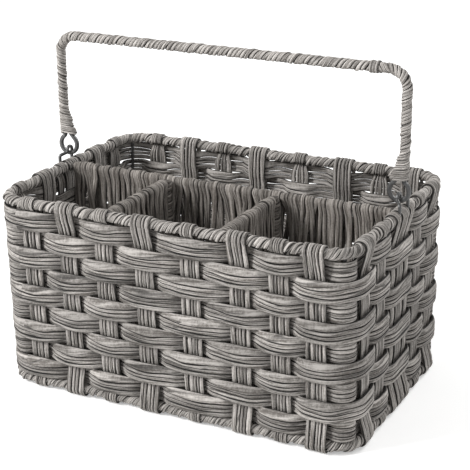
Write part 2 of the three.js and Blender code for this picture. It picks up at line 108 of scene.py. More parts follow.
bpy.ops.mesh.primitive_plane_add(size=60)
floor = bpy.context.object
floor.name = "studio_floor"
floor_paint = bpy.data.materials.new("studio_white")
floor_paint.use_nodes = True
floor.data.materials.append(floor_paint)
floor_shader = floor_paint.node_tree.nodes["Principled BSDF"]
floor_shader.inputs["Base Color"].default_value = (0.9, 0.9, 0.895, 1)
floor_shader.inputs["Roughness"].default_value = 0.9
floor_shader.inputs["Emission Color"].default_value = (1, 1, 1, 1)
glow = floor_shader.inputs["Emission Strength"]
camera_strength(floor_paint.node_tree, glow, 0.0, FLOOR_GLOW)


def soft_lamp(name, place, aim_at, size, power):
    data = bpy.data.lights.new(name, "AREA")
    data.shape = "SQUARE"
    data.size = size
    data.energy = power
    lamp = bpy.data.objects.new(name, data)
    bpy.context.scene.collection.objects.link(lamp)
    lamp.location = place
    turn = (Vector(aim_at) - Vector(place)).to_track_quat("-Z", "Y")
    lamp.rotation_euler = turn.to_euler()
    return lamp


soft_lamp("key", (-1.25, -1.2, 1.25), (0, 0, 0.1), 0.6, 39)
soft_lamp("fill", (1.5, -0.6, 0.9), (0, 0, 0.1), 0.9, 2.5)
soft_lamp("back", (0.7, 1.7, 1.3), (0, 0, 0.1), 1.0, 26)

world = bpy.data.worlds.new("pale_world")
bpy.context.scene.world = world
world.use_nodes = True
world.node_tree.nodes["Background"].inputs["Color"].default_value = (1, 1, 1, 1)
sky = world.node_tree.nodes["Background"].inputs["Strength"]
camera_strength(world.node_tree, sky, SKY_LIGHT, SKY_SEEN)

# %% [markdown]
# ## Shared shader groups
# Paper cord is twisted from a strip of paper. It shows fine fibres along the
# cord, fold lines where the strip closes on itself, and specks. Painted shade
# darkens the fold lines and the cord's side edges, for the creases and the
# grooves between cords. A node group holds each effect once, and the materials
# only set how strong it is. The cords' UV map runs along the cord in cord-girths
# and once around it.

# %% Helpers for node groups
def new_group(name, sockets_in, sockets_out):
    group = bpy.data.node_groups.new(name, "ShaderNodeTree")
    kinds = {"value": "NodeSocketFloat", "vector": "NodeSocketVector"}
    for title, kind, start in sockets_in:
        socket = group.interface.new_socket(title, in_out="INPUT", socket_type=kinds[kind])
        if start is not None:
            socket.default_value = start
    for title, kind in sockets_out:
        group.interface.new_socket(title, in_out="OUTPUT", socket_type=kinds[kind])
    return group, group.nodes.new("NodeGroupInput"), group.nodes.new("NodeGroupOutput")


class Wiring:
    """Adds nodes to a tree and links them, so that a formula reads as one line."""

    def __init__(self, tree):
        self.tree = tree

    def put(self, socket, value):
        if isinstance(value, bpy.types.NodeSocket):
            self.tree.links.new(value, socket)
        else:
            socket.default_value = value

    def math(self, operation, *values):
        node = self.tree.nodes.new("ShaderNodeMath")
        node.operation = operation
        for socket, value in zip(node.inputs, values):
            self.put(socket, value)
        return node.outputs[0]

    def times(self, value, factor):
        return self.math("MULTIPLY", value, factor)

    def noise(self, vector, scale, detail=3.0, roughness=0.55):
        node = self.tree.nodes.new("ShaderNodeTexNoise")
        self.put(node.inputs["Vector"], vector)
        node.inputs["Scale"].default_value = scale
        node.inputs["Detail"].default_value = detail
        node.inputs["Roughness"].default_value = roughness
        return node.outputs["Fac"]

    def combine(self, x, y, z):
        node = self.tree.nodes.new("ShaderNodeCombineXYZ")
        for socket, value in zip(node.inputs, (x, y, z)):
            self.put(socket, value)
        return node.outputs[0]

    def remap(self, value, low, high, to_low=0.0, to_high=1.0):
        node = self.tree.nodes.new("ShaderNodeMapRange")
        node.interpolation_type = "SMOOTHSTEP"
        for title, amount in zip(("Value", "From Min", "From Max", "To Min", "To Max"),
                                 (value, low, high, to_low, to_high)):
            self.put(node.inputs[title], amount)
        return node.outputs["Result"]

    def mix(self, factor, a, b, blend="MIX"):
        node = self.tree.nodes.new("ShaderNodeMix")
        node.data_type = "RGBA"
        node.blend_type = blend
        self.put(node.inputs["Factor"], factor)
        self.put(node.inputs["A"], a)
        self.put(node.inputs["B"], b)
        return node.outputs["Result"]


# %% The paper cord group
def paper_group():
    """Fibres, fold lines, specks, and a mask for painted shade at the cord's side edges, in a
    cord's own UV map.
    """
    titles = ("Fibre", "Fold", "Speck", "Painted_edge_shade", "Height")
    group, inside, outside = new_group(
        "paper_cord",
        [("Along and around", "vector", None), ("Tone", "value", 0.5)],
        [(title, "value") for title in titles],
    )
    w = Wiring(group)
    split = group.nodes.new("ShaderNodeSeparateXYZ")
    w.put(split.inputs[0], inside.outputs["Along and around"])
    along, around = split.outputs[0], split.outputs[1]
    seed = w.times(inside.outputs["Tone"], 61.0)
    twisted = w.math("ADD", around, w.times(along, 0.045))

    def streaks(lengthwise, across, crosswise, detail, roughness):
        place = w.combine(w.times(along, lengthwise), w.times(across, crosswise), seed)
        return w.noise(place, 1.0, detail, roughness)

    fibre = streaks(0.4, twisted, 13.0, 4.0, 0.62)
    fold_field = streaks(0.1, twisted, 2.9, 1.0, 0.4)
    speck = streaks(7.0, around, 12.0, 3.0, 0.75)
    # The fold mask is 0 on narrow fold lines; the materials darken the colour there as painted
    # shade, and the bump uses it too.
    fold = w.remap(w.math("ABSOLUTE", w.math("SUBTRACT", fold_field, 0.5)), 0.003, 0.022)
    # Painted shade: this mask is 1 at the cord's two side edges, where it meets the next cord;
    # the materials darken the colour there for the grooves between cords.
    wave = w.math("COSINE", w.times(around, 2 * math.pi))
    edge = w.remap(w.math("ABSOLUTE", wave), 0.76, 0.94)
    height = w.math("ADD", w.times(fibre, 0.25), w.times(fold, 0.6))
    height = w.math("ADD", height, w.times(speck, 0.25))
    for title, value in zip(titles, (fibre, fold, speck, edge, height)):
        w.put(outside.inputs[title], value)
    return group


# %% The groups for slow variation, painted light at the foot, and wire wear
def drift_group():
    """Slow changes over the whole basket: dye that took unevenly, and painted light near the
    foot, for light thrown up from the floor.
    """
    group, inside, outside = new_group(
        "slow_drift", [("Place", "vector", None)], [("Patch", "value"), ("Painted_foot_light", "value")]
    )
    w = Wiring(group)
    patch = w.noise(inside.outputs["Place"], 22.0, 2.0)
    split = group.nodes.new("ShaderNodeSeparateXYZ")
    w.put(split.inputs[0], inside.outputs["Place"])
    # Painted light mask: 1 at the foot and 0 two centimetres up, broken up by noise.
    low = w.remap(split.outputs[2], 0.0, 0.02, 1.0, 0.0)
    w.put(outside.inputs["Patch"], patch)
    w.put(outside.inputs["Painted_foot_light"], w.times(low, w.noise(inside.outputs["Place"], 90.0, 3.0)))
    return group


def coat_group():
    """Dark paint on drawn wire: a fine uneven coat with rubbed specks."""
    group, inside, outside = new_group(
        "wire_coat", [("Place", "vector", None)], [("Rubbed", "value"), ("Uneven", "value")]
    )
    w = Wiring(group)
    uneven = w.noise(inside.outputs["Place"], 900.0, 4.0, 0.6)
    worn = w.noise(inside.outputs["Place"], 260.0, 5.0, 0.7)
    w.put(outside.inputs["Rubbed"], w.remap(worn, 0.56, 0.7))
    w.put(outside.inputs["Uneven"], uneven)
    return group


PAPER = paper_group()
DRIFT = drift_group()
COAT = coat_group()
print("groups:", [g.name for g in bpy.data.node_groups])

# %% [markdown]
# ## Materials
# All cords are the same grey paper, and each material slot of the part has its
# own shades of it. These are painted light and shade: the inner dividers get a
# darker, shaded copy, and the stakes and the bindings lighter, lit copies.

# %% Cord and wire materials
def grey(level, warmth=0.0):
    """A slightly warm grey from a display value between 0 and 255."""
    def linear(value):
        value = value / 255
        return value / 12.92 if value < 0.04045 else ((value + 0.055) / 1.055) ** 2.4
    return (linear(level + warmth), linear(level), linear(level - warmth), 1)


def new_material(name):
    """A material with its wiring, its shader and its coordinate sockets."""
    material = bpy.data.materials.new(name)
    material.use_nodes = True
    tree = material.node_tree
    coords = tree.nodes.new("ShaderNodeTexCoord")
    return material, Wiring(tree), tree.nodes["Principled BSDF"], coords.outputs


def use_group(w, group, **inputs):
    node = w.tree.nodes.new("ShaderNodeGroup")
    node.node_tree = group
    for title, value in inputs.items():
        w.put(node.inputs[title.replace("_", " ")], value)
    return node.outputs


def bump_normal(w, height, strength, distance):
    node = w.tree.nodes.new("ShaderNodeBump")
    node.inputs["Strength"].default_value = strength
    node.inputs["Distance"].default_value = distance
    w.put(node.inputs["Height"], height)
    return node.outputs["Normal"]


def cord_material(name, dark, light, painted_groove_shade):
    """Paper cord; the last argument is how bright its side edges stay under the painted shade of
    the grooves between cords.
    """
    material, w, shader, coords = new_material(name)
    tone_node = w.tree.nodes.new("ShaderNodeAttribute")
    tone_node.attribute_name = "tone"
    tone = tone_node.outputs["Fac"]
    paper = use_group(w, PAPER, Along_and_around=coords["UV"], Tone=tone)
    drift = use_group(w, DRIFT, Place=coords["Object"])
    grain = w.math("ADD", w.times(paper["Fibre"], 0.86), w.times(paper["Speck"], 0.34))
    # Painted shade on the fold lines, times a random tone for each cord.
    shade = w.times(
        w.remap(paper["Fold"], 0.0, 1.0, 0.42, 1.0), w.remap(tone, 0.0, 1.0, 0.8, 1.15)
    )
    for more in (
        w.remap(drift["Patch"], 0.3, 0.7, 0.93, 1.05),
        # Painted shade at the cord's side edges, for the dark grooves between cords.
        w.remap(paper["Painted_edge_shade"], 0.0, 1.0, 1.0, painted_groove_shade),
        # Painted light: cords low down near the foot are a little paler, for light thrown up from
        # the floor.
        w.remap(drift["Painted_foot_light"], 0.1, 0.6, 1.0, 1.05),
    ):
        shade = w.times(shade, more)
    colour = w.mix(w.remap(grain, 0.45, 0.75), dark, light)
    shaded = w.mix(1.0, colour, w.combine(shade, shade, shade), "MULTIPLY")
    w.put(shader.inputs["Base Color"], shaded)
    w.put(shader.inputs["Roughness"], w.remap(paper["Fibre"], 0.3, 0.7, 0.62, 0.85))
    w.put(shader.inputs["Normal"], bump_normal(w, paper["Height"], 0.8, 0.0007))
    shader.inputs["Specular IOR Level"].default_value = 0.3
    return material


def wire_material(name, level, rubbed_level):
    """Painted wire of one grey, with specks of another where it is rubbed."""
    material, w, shader, coords = new_material(name)
    coat = use_group(w, COAT, Place=coords["Object"])
    base = w.mix(coat["Uneven"], grey(level - 8), grey(level + 8))
    w.put(shader.inputs["Base Color"], w.mix(coat["Rubbed"], base, grey(rubbed_level)))
    w.put(shader.inputs["Roughness"], w.remap(coat["Uneven"], 0.3, 0.7, 0.32, 0.5))
    w.put(shader.inputs["Metallic"], w.remap(coat["Rubbed"], 0.0, 1.0, 0.55, 0.9))
    w.put(shader.inputs["Normal"], bump_normal(w, coat["Uneven"], 0.3, 0.0001))
    return material


# Painted light and shade: inner_cord is a darker, shaded copy of the same paper, and stake_cord
# and binding_cord are lighter, lit copies; the last number is the painted shade at the cords'
# side edges.
MATERIALS = {
    "weaver_cord": cord_material("weaver_cord", grey(93, 5), grey(190, 5), 0.06),
    "stake_cord": cord_material("stake_cord", grey(96, 5), grey(194, 5), 0.1),
    "binding_cord": cord_material("binding_cord", grey(108, 5), grey(204, 5), 0.25),
    "inner_cord": cord_material("inner_cord", grey(86, 6), grey(160, 6), 0.22),
    "frame_wire": wire_material("frame_wire", 92, 132),
    "handle_wire": wire_material("handle_wire", 98, 140),
}
print("materials:", sorted(MATERIALS))

# %% [markdown]
# ## The shape of the walls
# The hoops are rectangles with round corners, and the walls lean a little. One
# function gives any place on them from the wall, the distance along it, the
# distance outward and the level, so that every cord follows the same surface.

# %% Sizes of the basket, in metres
RIM_LENGTH, RIM_WIDTH = 0.252, 0.170
BASE_LENGTH, BASE_WIDTH = 0.255, 0.160
CORNER = 0.0165
HOOP_SPACING = 0.1307
BASE_LEVEL = 0.005119
RIM_LEVEL = BASE_LEVEL + HOOP_SPACING
HOOK_GAP = 0.0035
WEAVE_OFFSET = 0.0027
STAKE_WIDTH, MIDDLE_STAKE_WIDTH, MIDDLE_STAKE = 0.0145, 0.031, 2
ROWS = 9
TOP_MARGIN, BASE_MARGIN = 0.0106, 0.0116
FIRST_ROW = RIM_LEVEL - TOP_MARGIN
ROW_PITCH = (HOOP_SPACING - TOP_MARGIN - BASE_MARGIN) / (ROWS - 1)
LONG_SHARES = [-0.4, -0.287, -0.176, -0.058, 0.074, 0.2115, 0.319, 0.4145]
END_SHARES = [-0.36, -0.197, 0, 0.197, 0.36]
BACK_SHARES = [-share for share in reversed(LONG_SHARES)]
WALLS = {
    "front": {"along": (1, 0), "out": (0, -1), "shares": LONG_SHARES, "parity": 0, "long": True},
    "right": {"along": (0, 1), "out": (1, 0), "shares": END_SHARES, "parity": 1, "long": False},
    "back": {"along": (-1, 0), "out": (0, 1), "shares": BACK_SHARES, "parity": 1, "long": True},
    "left": {"along": (0, -1), "out": (-1, 0), "shares": END_SHARES, "parity": 0, "long": False},
}


def length_at(level):
    """The basket's length between its walls' middles at a level."""
    return BASE_LENGTH + (RIM_LENGTH - BASE_LENGTH) * (level - BASE_LEVEL) / HOOP_SPACING


def width_at(level):
    return BASE_WIDTH + (RIM_WIDTH - BASE_WIDTH) * (level - BASE_LEVEL) / HOOP_SPACING


def run_of(wall, level):
    return length_at(level) if wall["long"] else width_at(level)


def wall_point(wall, along, outward, level):
    """A place on a wall; past the straight part it follows the round corner."""
    straight = run_of(wall, level) / 2 - CORNER
    reach = (width_at(level) if wall["long"] else length_at(level)) / 2
    a, b = along, reach + outward
    if abs(along) > straight:
        turn = (abs(along) - straight) / CORNER
        a = math.copysign(straight + (CORNER + outward) * math.sin(turn), along)
        b = reach - CORNER + (CORNER + outward) * math.cos(turn)
    x = a * wall["along"][0] + b * wall["out"][0]
    y = a * wall["along"][1] + b * wall["out"][1]
    return np.array((x, y, level))


def wall_normal(wall, along, level):
    """The way out of a wall."""
    return (wall_point(wall, along, 0.01, level) - wall_point(wall, along, 0, level)) / 0.01


def goes_outside(row, wall, stake):
    """Whether a row passes in front of a stake."""
    return (row + stake + wall["parity"]) % 2 == 0


def is_wide(wall, stake):
    return not wall["long"] and stake == MIDDLE_STAKE


def half_width(wall, stake):
    return (MIDDLE_STAKE_WIDTH if is_wide(wall, stake) else STAKE_WIDTH) / 2


print("row pitch:", round(ROW_PITCH * 1000, 2), "mm")

# %% [markdown]
# ## One cord
# A cord starts as a flat grid. Its vertices are laid around a path, so that the
# grid closes to a tube with a flattened section; then the seam is merged. The
# grid's own UV map stays, and runs along and around the cord, which is what the
# fibres of the material need.

# %% The cord maker
rng = np.random.default_rng(7)
CORD_GIRTH = 0.01
SECTION_ACROSS, SECTION_OUT = 0.6, 0.55


def unit(vectors):
    """The same vectors with a length of one."""
    return vectors / np.maximum(np.linalg.norm(vectors, axis=-1, keepdims=True), 1e-12)


def distances(points):
    """Distance travelled along a line of points."""
    steps = np.linalg.norm(np.diff(points, axis=0), axis=1)
    return np.concatenate([[0], np.cumsum(steps)])


def with_ends(points, faces, widths, depths):
    """Adds rings near both ends, where the cord rounds off to a tip."""
    travelled = distances(points)
    reach = depths[0] * 0.6
    near = np.array([0.0, 0.08, 0.35, 1.0]) * reach
    stations = np.unique(np.concatenate([near, travelled[-1] - near, travelled]))
    table = np.concatenate([points, faces, widths[:, None], depths[:, None]], axis=1)
    laid = np.stack([np.interp(stations, travelled, column) for column in table.T], axis=1)
    from_end = np.minimum(stations, travelled[-1] - stations)
    taper = np.sqrt(np.clip(1 - (1 - np.clip(from_end / reach, 0, 1)) ** 2, 0, 1))
    return laid[:, :3], laid[:, 3:6], laid[:, 6] * taper, laid[:, 7] * taper


def cord(points, faces, width, depth, closed=False, sides=10):
    """One cord along the points; faces tells which way its flat side looks."""
    points = np.asarray(points, float)
    count = len(points)
    faces = np.broadcast_to(np.asarray(faces, float), points.shape)
    widths = np.broadcast_to(np.asarray(width, float), (count,))
    depths = np.broadcast_to(np.asarray(depth, float), (count,))
    if closed:
        tangents = np.roll(points, -1, 0) - np.roll(points, 1, 0)
    else:
        points, faces, widths, depths = with_ends(points, faces, widths, depths)
        tangents = np.gradient(points, axis=0)
    tangents = unit(tangents)
    faces = unit(faces - tangents * np.sum(faces * tangents, axis=1, keepdims=True))
    across = np.cross(tangents, faces)
    turn = np.linspace(0, 2 * math.pi, sides + 1)
    c, s = -np.cos(turn), np.sin(turn)
    section_x = np.sign(c) * np.abs(c) ** SECTION_ACROSS
    section_y = np.sign(s) * np.abs(s) ** SECTION_OUT
    rings = (
        points[None]
        + across[None] * widths[None, :, None] / 2 * section_x[:, None, None]
        + faces[None] * depths[None, :, None] / 2 * section_y[:, None, None]
    )
    steps = rings.shape[1] - 1
    travelled = distances(points)
    if closed:
        rings = np.concatenate([rings, rings[:, :1]], axis=1)
        last = np.linalg.norm(points[-1] - points[0])
        travelled = np.append(travelled, travelled[-1] + last)
        steps += 1
    bpy.ops.mesh.primitive_grid_add(x_subdivisions=steps, y_subdivisions=sides, size=1)
    made = bpy.context.object
    mesh = made.data
    mesh.vertices.foreach_set("co", rings.reshape(-1))
    layer = mesh.uv_layers.active.data
    uv = np.empty(len(layer) * 2)
    layer.foreach_get("uv", uv)
    uv = uv.reshape(-1, 2)
    station = np.rint(uv[:, 0] * steps).astype(int)
    uv[:, 0] = travelled[station] / CORD_GIRTH
    layer.foreach_set("uv", uv.reshape(-1))
    tone = mesh.attributes.new("tone", "FLOAT", "POINT")
    tone.data.foreach_set("value", np.full(len(mesh.vertices), rng.random()))
    return made


def wander(travelled, amount, around=None, waves=(0.083, 0.037, 0.018)):
    """A smooth random swing along a cord; it closes on itself if around is given."""
    total = np.zeros_like(travelled)
    for wave in waves:
        if around:
            wave = around / round(around / wave)
        total += rng.uniform(0.4, 1) * np.sin(2 * math.pi * (travelled / wave + rng.random()))
    return amount * total / 2


def finish_piece(cords, name, body, node, slot):
    """Joins cords to one piece, merges their seams, gives it its material, parents it to its body
    and hides its CAD node.
    """
    bpy.ops.object.select_all(action="DESELECT")
    for made in cords:
        made.select_set(True)
    piece = cords[0]
    bpy.context.view_layer.objects.active = piece
    if len(cords) > 1:
        bpy.ops.object.join()
    bpy.ops.object.mode_set(mode="EDIT")
    bpy.ops.mesh.select_all(action="SELECT")
    bpy.ops.mesh.remove_doubles(threshold=1e-7)
    bpy.ops.mesh.normals_make_consistent(inside=False)
    bpy.ops.object.mode_set(mode="OBJECT")
    bpy.ops.object.shade_smooth()
    piece.name = name
    piece.data.name = name
    piece.data.materials.clear()
    piece.data.materials.append(MATERIALS[slot])
    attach(piece, body)
    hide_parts(node)
    bpy.ops.object.select_all(action="DESELECT")
    return piece


# %% [markdown]
# ## The weaver rows
# Each row is a flat bundle of four cords that runs right round the basket. It
# passes out over one stake and in behind the next. Over a stake the bundle
# swells and its top cord spreads; where it crosses the wall, beside a stake, its
# cords are pressed together. The first and last row reach up and down to the
# hoops, and dip a little beside the stakes that hide them.

# %% Weaver rows
CREST, END_CREST = 0.0155, 0.0143
CROSSING, HIDDEN, ROUND_CORNER = 0.0134, 0.015, 0.0132
LONG_GAP, LONG_RAMP = 0.0005, 0.0063
END_GAP, END_RAMP = 0.0021, 0.005
CREST_WEIGHTS = [2.4, 0.8, 0.75, 1.3]
HIDDEN_WEIGHTS = [1.2, 0.95, 0.9, 1.1]
CREST_SPREAD, CREST_PUSH, RAMP_DRAW = 0.85, 0.0007, 0.0006
OUT_BLUR, HEIGHT_BLUR = 0.9, 2.2
EDGE_DIP = 0.0008
ROW_DEPTH, CREST_DEPTH, ROW_CORD_GAP = 0.0021, 0.0005, 0.0001
ROW_LEAN, CREST_LEAN, ROW_BULGE = 0.35, 0.9, 0.0007
STEP = 0.0018


def row_stations(level):
    """Walls, places and unrolled distances once round the basket."""
    stations, base = [], 0.0
    starts = {}
    for name, wall in WALLS.items():
        straight = run_of(wall, level) / 2 - CORNER
        run = 2 * straight + CORNER * math.pi / 2
        starts[name] = base + straight
        steps = round(run / STEP)
        for i in range(steps):
            q = run * i / steps
            stations.append((base + q, wall, q - straight))
        base += run
    return stations, starts, base


def row_knots(row, starts):
    """Distance, outward offset and height where the row bends."""
    knots = []
    level = FIRST_ROW - row * ROW_PITCH
    for name, wall in WALLS.items():
        straight = run_of(wall, level) / 2 - CORNER
        corner = starts[name] + straight + CORNER * math.pi / 4
        knots.append((corner, WEAVE_OFFSET, ROUND_CORNER))
        for stake, share in enumerate(wall["shares"]):
            middle = starts[name] + share * run_of(wall, level)
            half = half_width(wall, stake)
            if goes_outside(row, wall, stake):
                crest = CREST if wall["long"] else END_CREST
                spread = half * CREST_SPREAD
                knots.append((middle - spread, WEAVE_OFFSET + CREST_PUSH, crest))
                knots.append((middle + spread, WEAVE_OFFSET + CREST_PUSH, crest))
                continue
            edge = half + (LONG_GAP if wall["long"] else END_GAP)
            ramp = LONG_RAMP if wall["long"] else END_RAMP
            knots.append((middle - edge - ramp, WEAVE_OFFSET - RAMP_DRAW, CROSSING))
            knots.append((middle - edge, -WEAVE_OFFSET, HIDDEN))
            knots.append((middle + edge, -WEAVE_OFFSET, HIDDEN))
            knots.append((middle + edge + ramp, WEAVE_OFFSET - RAMP_DRAW, CROSSING))
    knots = np.array(knots)
    return knots[np.argsort(knots[:, 0])]


def smooth_round(values, sigma):
    """Blurs a ring of values, so that a cord bends in soft curves."""
    reach = int(3 * sigma) + 1
    weights = np.exp(-0.5 * (np.arange(-reach, reach + 1) / sigma) ** 2)
    weights /= weights.sum()
    total = np.zeros_like(values)
    for shift, weight in zip(range(-reach, reach + 1), weights):
        total += weight * np.roll(values, shift)
    return total


def weaver_row(row):
    """One row: its path and height first, then each cord's share of the height."""
    level = FIRST_ROW - row * ROW_PITCH
    stations, starts, around = row_stations(level)
    q = np.array([s[0] for s in stations])
    knots = row_knots(row, starts)
    out = smooth_round(np.interp(q, knots[:, 0], knots[:, 1], period=around), OUT_BLUR)
    height = smooth_round(np.interp(q, knots[:, 0], knots[:, 2], period=around), HEIGHT_BLUR)
    over = np.clip((out / WEAVE_OFFSET + 1) / 2, 0, 1)
    swell = np.clip((height - CROSSING) / (CREST - CROSSING), 0, 1)
    curved = swell * np.where(over > 0.5, 2 * over - 1, 0.5 * (2 * over - 1))
    weights = []
    for at_crest, hidden in zip(CREST_WEIGHTS, HIDDEN_WEIGHTS):
        drift = wander(q, 0.4, around, (0.11, 0.05))
        weights.append(hidden + swell * (at_crest - hidden + drift) + wander(q, 0.05, around))
    weights = np.array(weights)
    shares = weights / weights.sum(axis=0)
    edges = np.concatenate([np.zeros((1, len(q))), np.cumsum(shares, axis=0)])
    top, bottom = height / 2, height / 2
    if row == 0:
        top = RIM_LEVEL - HOOK_GAP - level - EDGE_DIP * (1 - swell)
    if row == ROWS - 1:
        bottom = level - BASE_LEVEL - HOOK_GAP - EDGE_DIP * (1 - swell)
    cords = []
    for j in range(len(CREST_WEIGHTS)):
        middle = (edges[j] + edges[j + 1]) / 2
        size = shares[j] * (top + bottom)
        rise = top - middle * (top + bottom) + wander(q, 0.0001, around)
        lean = (0.5 - middle) * (ROW_LEAN * (2 * over - 1) + CREST_LEAN * curved)
        bulge = ROW_BULGE * curved * np.cos((middle - 0.45) * math.pi)
        bulge += wander(q, 0.0003, around, (0.13, 0.07)) * over
        points, faces = [], []
        for i, (_, wall, along) in enumerate(stations):
            normal = wall_normal(wall, along, level)
            points.append(wall_point(wall, along, out[i] + bulge[i], level + rise[i]))
            faces.append(normal * math.cos(lean[i]) + np.array((0, 0, math.sin(lean[i]))))
        width = size * (0.96 + wander(q, 0.07, around, (0.09, 0.055))) - ROW_CORD_GAP
        cords.append(cord(points, faces, width, ROW_DEPTH + CREST_DEPTH * swell, closed=True))
    name = f"weaver_row_{row + 1}"
    return finish_piece(cords, f"row_{row + 1}_cords", "basket", name, "weaver_cord")


rows = [weaver_row(row) for row in range(ROWS)]
print("rows:", len(rows), "triangles in one:", 2 * len(rows[0].data.polygons))

# %% [markdown]
# ## The stakes
# The uprights are bundles of cords too. Where a stake passes in front of the
# first row, its cords hook over the rim and run down again inside. Where the row
# hides it, its cords are gathered and come out just under the rim to hook over
# it. The same happens at the foot, but there the hooks end under the hoop.

# %% Stakes
HOOK_RADIUS, TUCKED_RADIUS = 0.0042, 0.0038
STAKE_SPREAD, STAKE_DEPTH = 0.0147, 0.002
ROW_PUSH = 0.0006
GATHER, GATHER_REACH, GATHER_RUN = 0.36, 0.012, 0.008
MIDDLE_CORD, OUTER_CORD, OUTER_PLACE = 0.0024, 0.0023, 0.0120
STAKE_PATTERNS = [
    [1.9, 1.0, 1.0, 1.0, 1.9],
    [1.5, 1.9, 1.0, 0.9, 1.7],
    [1.8, 1.0, 1.6, 1.0, 1.4],
    [1.4, 1.1, 1.9, 0.9, 0.9, 1.3],
    [2.1, 1.2, 1.1, 2.1],
]


def over_hoop(radius, first):
    """Places on a circle round a hoop, from an angle in degrees to its inner side."""
    angles = [math.radians(angle) for angle in range(first, 181, 15)]
    return [(radius * math.cos(a), radius * math.sin(a)) for a in angles]


def hook_path(sign, hoop_level):
    """Outward offsets and levels of a hook, from the wall up over the hoop."""
    path = [(0.0004, -0.0155), (0.0011, -0.0125), (0.0021, -0.009), (0.0031, -0.0056)]
    path += over_hoop(HOOK_RADIUS, -30)
    if sign > 0:
        path += [(-0.0047, -0.0035), (-0.0048, -0.012), (-0.0043, -0.0165)]
        path += [(-0.003, -0.021), (-0.0024, -0.027)]
    else:
        path += [(-HOOK_RADIUS, -0.002)]
    return [(out, hoop_level + sign * up) for out, up in path]


def tucked_hook(sign, hoop_level):
    """A hook that comes out between the hoop and a row that hides the stake."""
    path = [(-0.0004, -0.0125), (-0.0003, -0.0095), (0.0002, -0.0065)]
    path += over_hoop(TUCKED_RADIUS, -60) + [(-0.0037, -0.002)]
    return [(out, hoop_level + sign * up) for out, up in path]


def stake_path(wall, stake):
    """Outward offsets and levels of a stake, and how far it is gathered there."""
    top_hooked = not goes_outside(0, wall, stake)
    base_hooked = not goes_outside(ROWS - 1, wall, stake)
    base = hook_path(-1, BASE_LEVEL) if base_hooked else tucked_hook(-1, BASE_LEVEL)
    top = hook_path(1, RIM_LEVEL) if top_hooked else tucked_hook(1, RIM_LEVEL)
    low, high = base[0][1], top[0][1]
    path = base[::-1]
    for level in np.arange(low + 0.0035, high - 0.0015, 0.0022):
        row = (FIRST_ROW - level) / ROW_PITCH
        nearest = min(max(round(row), 0), ROWS - 1)
        side = -1 if goes_outside(nearest, wall, stake) else 1
        push = ROW_PUSH * side * math.cos(min(abs(row - nearest), 0.5) * math.pi)
        path.append((push, level))
    path += top
    levels = np.array([level for _, level in path])
    gathered = np.ones(len(path))
    for hooked, hoop_level in ((base_hooked, BASE_LEVEL), (top_hooked, RIM_LEVEL)):
        if not hooked and not is_wide(wall, stake):
            near = np.clip((GATHER_REACH - np.abs(levels - hoop_level)) / GATHER_RUN, 0, 1)
            gathered -= GATHER * near * near * (3 - 2 * near)
    return path, gathered


def stake_offsets(wall, stake):
    """Middles and widths of a stake's cords across it."""
    if not is_wide(wall, stake):
        pattern = STAKE_PATTERNS[rng.integers(len(STAKE_PATTERNS))][:: rng.choice([-1, 1])]
        widths = np.array(pattern) * STAKE_SPREAD / sum(pattern)
        edges = np.concatenate([[0], np.cumsum(widths)]) - widths.sum() / 2
        return (edges[:-1] + edges[1:]) / 2, widths
    middles = (np.arange(5) - 2) * MIDDLE_CORD
    outer = OUTER_PLACE + (np.arange(3) - 1) * OUTER_CORD
    places = np.concatenate([-outer[::-1], middles, outer])
    return places, np.array([OUTER_CORD] * 3 + [MIDDLE_CORD] * 5 + [OUTER_CORD] * 3)


def make_stake(name, wall, stake):
    """All the cords of one stake, side by side on its path."""
    path, gathered = stake_path(wall, stake)
    levels = np.array([p[1] for p in path])
    outs = np.array([p[0] for p in path])
    line = np.stack([outs, levels], axis=1)
    travelled = distances(line)
    tangents = unit(np.gradient(line, axis=0))
    places, widths = stake_offsets(wall, stake)
    share = wall["shares"][stake]
    cords = []
    for place, width in zip(places, widths):
        sway = wander(travelled, 0.00016, waves=(0.2, 0.11, 0.06))
        lift = rng.uniform(-0.0003, 0.0003) + wander(travelled, 0.0003, waves=(0.09, 0.05))
        girths = width * gathered * (0.85 + wander(travelled, 0.12))
        points, faces = [], []
        for i in range(len(path)):
            along = share * run_of(wall, levels[i]) + place * gathered[i] + sway[i]
            normal = wall_normal(wall, along, levels[i])
            points.append(wall_point(wall, along, outs[i] + lift[i] * 0.6, levels[i]))
            faces.append(normal * tangents[i][1] - np.array((0, 0, tangents[i][0])))
        cords.append(cord(points, faces, girths, STAKE_DEPTH, sides=8))
    node = f"{name}_stake_{stake + 1}"
    return finish_piece(cords, f"{name}_upright_{stake + 1}", "basket", node, "stake_cord")


stakes = [
    make_stake(name, wall, i) for name, wall in WALLS.items() for i in range(len(wall["shares"]))
]
print("stakes:", len(stakes), "triangles in one:", 2 * len(stakes[0].data.polygons))

# %% [markdown]
# ## The bound hoops
# Cords wound round each hoop hide its wire. Five on the rim and seven finer ones
# on the foot run side by side as a steep screw, which gives their slanted ridges.
# Under the hooks of the stakes the turns are pulled in, so that the hooks lie
# flush with them.

# %% Bound hoops
RIM_STRANDS, FOOT_STRANDS = 5, 7
BINDING_PITCH = 0.0126
BINDING_RADIUS, UNDER_HOOK, BINDING_DEPTH = 0.0026, 0.0004, 0.0018
STRANDS_WIDTH = 0.0112


def under_hook(wall, along, level):
    """1 where a stake's hook crosses the binding, and 0 elsewhere."""
    row = 0 if level == RIM_LEVEL else ROWS - 1
    for stake, share in enumerate(wall["shares"]):
        gathered = 0.6 if goes_outside(row, wall, stake) else 1.0
        reach = half_width(wall, stake) * gathered - 0.0005
        if abs(along - share * run_of(wall, level)) < reach:
            return 1.0
    return 0.0


